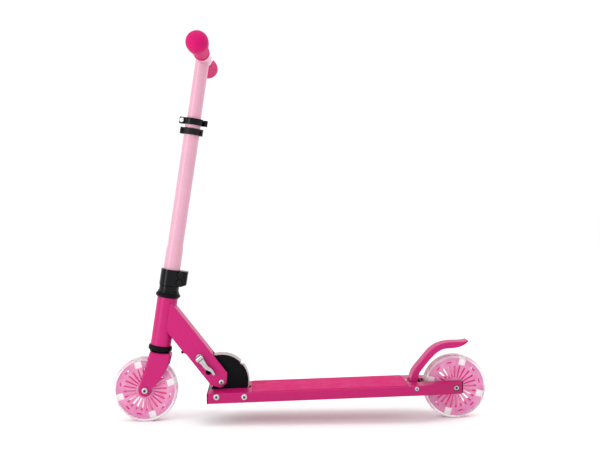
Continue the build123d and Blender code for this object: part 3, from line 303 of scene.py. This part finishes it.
frame_paint = powder_coat("frame_powder_coat", FRAME_MAGENTA)
deck_paint = powder_coat("footboard_powder_coat", FOOTBOARD_MAGENTA)
dress(frame_paint, "neck_strut", "head_tube", "fork", "fender_brake")
dress(deck_paint, "deck_shell")
pale_paint = powder_coat("column_pale_coat", COLUMN_PINK, rough=0.30, shine=0.45)
dress(pale_paint, "steering_tube", "handlebar_tee")
black_paint = powder_coat("bracket_black_coat", BRACKET_BLACK, rough=0.40, dust=0.004,
                          shine=0.06)
dress(black_paint, "fold_cheeks", "rear_yoke", "lower_headset_cup", "upper_headset_cup",
      "crown_race")
print("powder coats", frame_paint.material.name, pale_paint.material.name)

# %% [markdown]
# ## Bare and plated metal
# Bolts, nuts and washers are zinc plated: a bright grey with soft cloudy variation. The fold
# track is bare steel, brushed across by the latch tooth. The cam lever is a tumbled casting
# with tiny dents. The round ends of the snap buttons and the collar's bolt are chrome.

# %% Metal recipes
def metal(name, colour, rough, grain=900, stretch=(1, 1, 1), dents=0.05):
    """A plain metal: cloudy colour, uneven gloss and a fine grain that may run one way."""
    steel = Finish(name)
    tone = steel.ramp(steel.noise(60, 4), (0.3, shaded(colour, 0.82)), (0.7, colour))
    steel.link(tone, "Base Color")
    steel.set(Metallic=1.0)
    run = steel.noise(grain, 3, 0.6, steel.scaled(stretch))
    steel.link(steel.ramp(run, (0.3, rough * 0.8), (0.7, rough * 1.3)), "Roughness")
    steel.bump(run, dents, FINE_RELIEF)
    return steel


zinc = metal("zinc_plate", (0.60, 0.58, 0.59), rough=0.30)
dress(zinc, "bracket_bolts", "bracket_sleeves", "pivot_bolt", "small_lock_nuts", "large_lock_nuts",
      "fender_pin", "tail_screw", "rear_axle_bolt", "rear_axle_spacers", "front_axle_bolt",
      "front_axle_nut", "front_axle_spacers", "latch_block", "latch_skewer", "latch_washer")
bare_steel = metal("bare_track_steel", (0.50, 0.42, 0.43), rough=0.34, stretch=(1, 0.08, 1),
                   dents=0.1)
dress(bare_steel, "fold_track")
cast_alloy = metal("cast_lever_alloy", (0.52, 0.52, 0.53), rough=0.34, grain=500, dents=0.25)
dress(cast_alloy, "latch_lever")
chrome = metal("chrome_plate", (0.90, 0.90, 0.91), rough=0.07, dents=0.01)
dress(chrome, "collar_skewer", "height_button", "left_handle_button", "right_handle_button")
ground_steel = metal("ground_bearing_steel", (0.66, 0.67, 0.68), rough=0.22, stretch=(1, 0.2, 1))
dress(ground_steel, "front_wheel_bearings", "rear_wheel_bearings", "headset_bearings")
spring_steel = metal("spring_steel", (0.60, 0.60, 0.61), rough=0.3, grain=1500)
dress(spring_steel, "fender_spring", "latch_springs")
satin_alloy = metal("satin_tube_alloy", (0.78, 0.78, 0.79), rough=0.35, stretch=(1, 0.05, 1))
dress(satin_alloy, "handle_tubes", "steerer")
print("metals", [f.material.name for f in (zinc, bare_steel, cast_alloy, chrome)])

# %% [markdown]
# ## Black parts
# The stem clamp, the quick-release collar and its lever are black anodised alloy: darker and
# glossier than plastic, with fine turning marks. The end cap, the stop collar and the bumper
# are moulded black plastic and rubber with a faint grain. The small screws of the clamp and of
# the stop collar are blackened steel.

# %% Black finishes
BLACK_SHINE = 0.16


def black_part(name, base, rough, grain, dents, metallic=0.0):
    """A black surface whose grain breaks up the light."""
    part = Finish(name)
    tone = part.ramp(part.noise(40, 4), (0.3, shaded(base, 0.7)), (0.75, base))
    part.link(tone, "Base Color")
    gloss = part.ramp(part.noise(300, 4), (0.3, rough * 0.85), (0.7, rough * 1.2))
    part.link(gloss, "Roughness")
    part.set(Metallic=metallic, Specular_IOR_Level=BLACK_SHINE)
    part.bump(part.noise(grain, 3, 0.6), dents, FINE_RELIEF)
    return part


anodised = black_part("black_anodised_alloy", (0.002, 0.002, 0.003), rough=0.24, grain=1400,
                      dents=0.08)
dress(anodised, "stem_clamp", "headset_locknut", "height_collar", "height_lever")
moulded_black = black_part("moulded_black_plastic", (0.008, 0.008, 0.009), rough=0.45,
                           grain=2200, dents=0.25)
dress(moulded_black, "front_end_cap", "stop_collar")
black_oxide = black_part("black_oxide_screw", (0.022, 0.022, 0.024), rough=0.28, grain=1200,
                         dents=0.1, metallic=0.6)
dress(black_oxide, "clamp_bolts", "stop_collar_screws")
soft_black = black_part("soft_black_rubber", (0.009, 0.009, 0.010), rough=0.7, grain=1800,
                        dents=0.4)
dress(soft_black, "strut_bumper")
print("black finishes", anodised.material.name, moulded_black.material.name)

# %% [markdown]
# ## Rubber grips and the footboard sheet
# The grips are a soft matt rubber with a dusty bloom: a rough surface with hardly any shine, and
# a very fine leathery grain. The sheet on the footboard is the same pink as the paint under it,
# covered in fine grit, so it looks a little paler and quite dull.

# %% Rubber and grit
GRIP_PINK = (0.55, 0.002, 0.125)
GRIT_PINK = (0.51, 0.012, 0.125)

grip_rubber = Finish("grip_soft_rubber")
bloom = grip_rubber.ramp(grip_rubber.noise(90, 5, 0.6), (0.3, shaded(GRIP_PINK, 0.88)),
                         (0.7, GRIP_PINK))
grip_rubber.link(bloom, "Base Color")
grip_rubber.set(Roughness=0.62, Specular_IOR_Level=0.15)
grip_rubber.bump(grip_rubber.cells(1500), 0.25, MOULDED_RELIEF)
dress(grip_rubber, "left_grip", "right_grip")

grit_sheet = Finish("footboard_grit_sheet")
grit = grit_sheet.noise(1500, 3, 0.7)
grains = grit_sheet.ramp(grit, (0.45, 0.0), (0.75, 1.0))
grit_sheet.link(grit_sheet.mix(grains, GRIT_PINK, shaded(GRIT_PINK, 1.25)), "Base Color")
grit_sheet.link(grit_sheet.ramp(grit_sheet.noise(30, 5), (0.3, 0.55), (0.7, 0.8)), "Roughness")
grit_sheet.set(Specular_IOR_Level=0.1)
grit_sheet.bump(grit, 0.6, GRIT_RELIEF)
dress(grit_sheet, "grip_tape")
print("rubber", grip_rubber.material.name, "sheet", grit_sheet.material.name)

# %% [markdown]
# ## Translucent wheels
# The core of each wheel is moulded in a milky pink urethane. Where the light crosses little of
# it, at the flat faces, it looks pale; deep in the slots it looks a saturated magenta, because
# the light has bounced many times inside. The finish paints that light in: faces square to the
# axle get the pale tone, walls along the axle a painted deep tone, with a little painted glow for
# the light that reaches them through the plastic. The tyre is water-clear with a faint haze, and
# the four light blocks of each wheel are clear plastic with a frosted face.

# %% Wheel finishes
# Painted light: the deep tone and the glow of the slot walls stand in for light bounced inside the
# urethane; they are not a second colour of plastic.
CORE_PAINTED_DEEP_TONE = from_srgb(190, 10, 104)
CORE_PALE = (from_srgb(204, 122, 165), from_srgb(222, 150, 188))
CORE_PAINTED_GLOW = (0.30, 0.001, 0.12)
NO_PAINTED_GLOW = (0.0, 0.0, 0.0)
AXLE = 1  # the axle runs along the second axis, Y

core_urethane = Finish("pink_core_urethane")
face_on = core_urethane.ramp(core_urethane.facing(AXLE), (0.35, 0.0), (0.85, 1.0))
pale_core = core_urethane.ramp(core_urethane.noise(70, 4), (0.3, CORE_PALE[0]),
                               (0.7, CORE_PALE[1]))
# Painted light: the pale tone goes on faces square to the axle, and a painted deep tone and a
# painted glow go on the walls along it.
core_urethane.link(core_urethane.mix(face_on, CORE_PAINTED_DEEP_TONE, pale_core), "Base Color")
core_urethane.link(core_urethane.mix(face_on, CORE_PAINTED_GLOW, NO_PAINTED_GLOW), "Emission Color")
core_urethane.set(Roughness=0.28, Transmission_Weight=0.12, IOR=1.45, Specular_IOR_Level=0.3,
                  Emission_Strength=0.85, Subsurface_Weight=0.3, Subsurface_Scale=0.004)
core_urethane.bump(core_urethane.noise(500, 3), 0.05, MOULDED_RELIEF)
dress(core_urethane, "front_wheel_core", "rear_wheel_core")

tyre_urethane = Finish("clear_tyre_urethane")
tint = tyre_urethane.ramp(tyre_urethane.noise(40, 4), (0.3, (0.86, 0.80, 0.83)),
                          (0.7, (0.95, 0.93, 0.94)))
tyre_urethane.link(tint, "Base Color")
haze = tyre_urethane.ramp(tyre_urethane.noise(220, 5), (0.3, 0.10), (0.75, 0.22))
tyre_urethane.link(haze, "Roughness")
tyre_urethane.set(Transmission_Weight=0.75, IOR=1.35)
tyre_urethane.bump(tyre_urethane.noise(700, 3), 0.05, MOULDED_RELIEF)
dress(tyre_urethane, "front_tyre", "rear_tyre")

light_clear = Finish("frosted_light_block")
frost = light_clear.ramp(light_clear.noise(120, 4), (0.3, (0.80, 0.80, 0.77)),
                         (0.7, (0.93, 0.93, 0.90)))
light_clear.link(frost, "Base Color")
light_clear.set(Roughness=0.3, Transmission_Weight=0.35, IOR=1.4)
light_clear.bump(light_clear.noise(900, 3), 0.15, MOULDED_RELIEF)
dress(light_clear, "front_wheel_lights", "rear_wheel_lights")
print("wheel finishes", core_urethane.material.name, tyre_urethane.material.name)

# %% [markdown]
# ## Button-head screws
# The screws that can be seen on the rider's left have a low domed head with a six-sided socket
# for a key. A real one is cold headed from wire: the blank's end is squeezed into a disc, then
# a punch sinks the socket. The model goes the same way. A cylinder is the wire; its end face is
# extruded and scaled out into a disc, raised straight for the rim, then up in three shrinking
# steps for the dome. Only the socket needs another shape, a six-sided prism, so it is cut with
# one Boolean. The socket walls get a dark painted shade, for the little light that gets in.

# %% Choose faces by a test, and sink a socket
def select_faces(piece, test):
    """Leaves edit mode with exactly the faces selected that pass the test, and goes back in."""
    bpy.ops.mesh.select_all(action="DESELECT")
    bpy.ops.mesh.select_mode(type="FACE")
    bpy.ops.object.mode_set(mode="OBJECT")
    for face in piece.data.polygons:
        face.select = test(face)
    bpy.ops.object.mode_set(mode="EDIT")


def sink_socket(piece, x, z, top, radius, depth):
    """Cuts a six-sided socket into the head, from its top face inwards along Y."""
    bpy.ops.object.select_all(action="DESELECT")
    bpy.ops.mesh.primitive_cylinder_add(vertices=6, radius=radius, depth=2 * depth,
                                        location=(x, top, z), rotation=(pi / 2, 0, 0))
    punch = bpy.context.object
    bpy.ops.object.select_all(action="DESELECT")
    piece.select_set(True)
    bpy.context.view_layer.objects.active = piece
    cut = piece.modifiers.new("socket", "BOOLEAN")
    cut.operation = "DIFFERENCE"
    cut.object = punch
    bpy.ops.object.modifier_apply(modifier=cut.name)
    bpy.ops.object.select_all(action="DESELECT")
    punch.select_set(True)
    bpy.ops.object.delete()


print("socket punch ready")

# %% One screw from its wire
# Each step of the head: its rise over the head's height, its radius over the head's radius.
HEAD_STEPS = ((0, 1.0), (0.38, 1.0), (0.30, 0.93), (0.20, 0.78), (0.12, 0.58))
SOCKET_RADIUS = 0.46  # over the head's radius
SOCKET_DEPTH = 0.62  # over the head's height
WIRE_SIDES = 48
TOP_MARGIN = 0.0001  # keeps the head's top face out of the socket's finish
# Material slot of the painted shade on the socket walls.
PAINTED_SHADE_SLOT = 1
HEAD_SMOOTHING = radians(40)


def button_screw(name, x, z, top, tip, head_radius, head_height, shank_radius):
    """A button-head screw along Y, from the top of its head (least Y) to its tip."""
    seat = top + head_height
    bpy.ops.object.select_all(action="DESELECT")
    bpy.ops.mesh.primitive_cylinder_add(vertices=WIRE_SIDES, radius=shank_radius,
                                        depth=tip - seat, location=(x, (tip + seat) / 2, z),
                                        rotation=(pi / 2, 0, 0))
    screw = bpy.context.object
    screw.name = name
    bpy.ops.object.transform_apply(location=True, rotation=True, scale=True)
    bpy.ops.object.mode_set(mode="EDIT")
    select_faces(screw, lambda face: face.normal.y < -0.9)
    radius = shank_radius
    for rise, wanted in HEAD_STEPS:
        lift = (0, -rise * head_height, 0)
        bpy.ops.mesh.extrude_region_move(TRANSFORM_OT_translate={"value": lift})
        factor = wanted * head_radius / radius
        bpy.ops.transform.resize(value=(factor, 1, factor), center_override=(x, top, z))
        radius = wanted * head_radius
    bpy.ops.mesh.select_all(action="SELECT")
    bpy.ops.mesh.normals_make_consistent(inside=False)
    bpy.ops.object.mode_set(mode="OBJECT")
    socket_radius = SOCKET_RADIUS * head_radius
    sink_socket(screw, x, z, top, socket_radius, SOCKET_DEPTH * head_height)
    bpy.ops.object.select_all(action="DESELECT")
    screw.select_set(True)
    bpy.context.view_layer.objects.active = screw
    bpy.ops.object.shade_smooth_by_angle(angle=HEAD_SMOOTHING)
    screw.data.materials.append(zinc.material)
    # The second material is painted shade for the socket walls, where little light gets in.
    screw.data.materials.append(socket_painted_shade.material)
    for face in screw.data.polygons:
        off_axis = ((face.center.x - x) ** 2 + (face.center.z - z) ** 2) ** 0.5
        if off_axis < socket_radius and top + TOP_MARGIN < face.center.y < seat:
            face.material_index = PAINTED_SHADE_SLOT
    return screw


# Painted shade: a dark metal for the walls of the sockets, standing in for the little light inside
# them.
socket_painted_shade = metal("socket_painted_shade_steel", (0.10, 0.10, 0.105), rough=0.5, dents=0.15)
print("screw recipe ready")

# %% [markdown]
# The CAD model has every screw in its place with the right sizes, so each new screw takes its
# place and length from the box of the node that it stands for. The two bracket screws share one
# node, whose box reaches from the front screw's head to the rear one's.

# %% Put the screws in place of the CAD ones
def screw_for(node, head_height, shank_radius):
    """Replaces a node that is one screw."""
    low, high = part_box(node)
    head_radius = (high[0] - low[0]) / 2
    screw = button_screw(node + "_detailed", (low[0] + high[0]) / 2, (low[2] + high[2]) / 2,
                         low[1], high[1], head_radius, head_height, shank_radius)
    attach(screw, BODY_OF[node])
    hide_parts(node)
    return screw


# Head height and shank radius of each screw that has a node of its own.
SCREW_SIZES = {
    "pivot_bolt": (0.0032, 0.004),
    "front_axle_bolt": (0.0046, 0.004),
    "rear_axle_bolt": (0.0064, 0.004),
    "fender_pin": (0.0022, 0.0025),
}
BRACKET_HEAD_RADIUS = 0.0056
BRACKET_HEAD_HEIGHT = 0.003
BRACKET_SHANK_RADIUS = 0.0025

screws = [screw_for(node, *sizes) for node, sizes in SCREW_SIZES.items()]
low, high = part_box("bracket_bolts")
for name, x, z in (
        ("bracket_screw_front", low[0] + BRACKET_HEAD_RADIUS, high[2] - BRACKET_HEAD_RADIUS),
        ("bracket_screw_rear", high[0] - BRACKET_HEAD_RADIUS, low[2] + BRACKET_HEAD_RADIUS)):
    screw = button_screw(name, x, z, low[1], high[1], BRACKET_HEAD_RADIUS, BRACKET_HEAD_HEIGHT,
                         BRACKET_SHANK_RADIUS)
    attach(screw, BODY_OF["bracket_bolts"])
    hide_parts("bracket_bolts")
    screws.append(screw)
print("screws", [(s.name, len(s.data.polygons)) for s in screws])

# %% [markdown]
# ## Weld beads
# The strut is welded to the head tube along the ends of its two side walls. A weld bead is a
# row of small overlapping ripples, left where the melt froze drop by drop. Each bead starts as
# a short disc at the foot of the seam and is drawn up the seam step by step, swelling and
# shrinking a little at each step; both ends are drawn in to less than half the width. The
# paint covers it.

# %% Draw one bead up each side of the head tube
steer = next(joint for joint in BEHAVIOUR["joints"] if joint["name"] == "steer")
steer_axis = Vector(steer["axis"])
steer_point = Vector(steer["pos_m"])
behind_axis = Vector((steer_axis.z, 0, -steer_axis.x))
BEAD_RADIUS = 0.0016
BEAD_SIDES = 16
BEAD_STEPS = 26
BEAD_STEP = 0.0020
BEAD_SMOOTHING = radians(60)
SEAM_FOOT = -0.0140  # along the steering axis, from the joint's point
SEAM_BEHIND = 0.0089  # behind the steering axis
SEAM_ASIDE = 0.0176  # from the middle of the scooter to the strut's side wall
FOOT_SIZE, END_SIZE, HOLLOW_SIZE, FULL_SIZE = 0.4, 0.45, 0.84, 1.0  # over the bead's radius


def weld_bead(name, side):
    """A rippled bead along the seam on one side: -1 is the rider's left."""
    centre = (steer_point + behind_axis * SEAM_BEHIND + steer_axis * SEAM_FOOT
              + Vector((0, side * SEAM_ASIDE, 0)))
    bpy.ops.object.select_all(action="DESELECT")
    bpy.ops.mesh.primitive_circle_add(vertices=BEAD_SIDES, radius=BEAD_RADIUS * FOOT_SIZE,
                                      fill_type="NGON", location=centre,
                                      rotation=steer_axis.to_track_quat("Z", "Y").to_euler())
    bead = bpy.context.object
    bead.name = name
    bpy.ops.object.transform_apply(location=True, rotation=True, scale=True)
    bpy.ops.object.mode_set(mode="EDIT")
    bpy.ops.mesh.select_all(action="SELECT")
    size = FOOT_SIZE
    rise = steer_axis * BEAD_STEP
    for step in range(BEAD_STEPS):
        wanted = FULL_SIZE if step % 2 else HOLLOW_SIZE
        if step in (0, BEAD_STEPS - 1):
            wanted = END_SIZE
        centre = centre + rise
        bpy.ops.mesh.extrude_region_move(TRANSFORM_OT_translate={"value": rise})
        bpy.ops.transform.resize(value=(wanted / size,) * 3, center_override=centre)
        size = wanted
    bpy.ops.mesh.select_all(action="SELECT")
    bpy.ops.mesh.normals_make_consistent(inside=False)
    bpy.ops.object.mode_set(mode="OBJECT")
    bpy.ops.object.shade_smooth_by_angle(angle=BEAD_SMOOTHING)
    bead.data.materials.append(frame_paint.material)
    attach(bead, "strut")
    return bead


beads = [weld_bead("weld_bead_left", -1), weld_bead("weld_bead_right", 1)]
print("beads", [(b.name, [round(d, 4) for d in b.dimensions]) for b in beads])
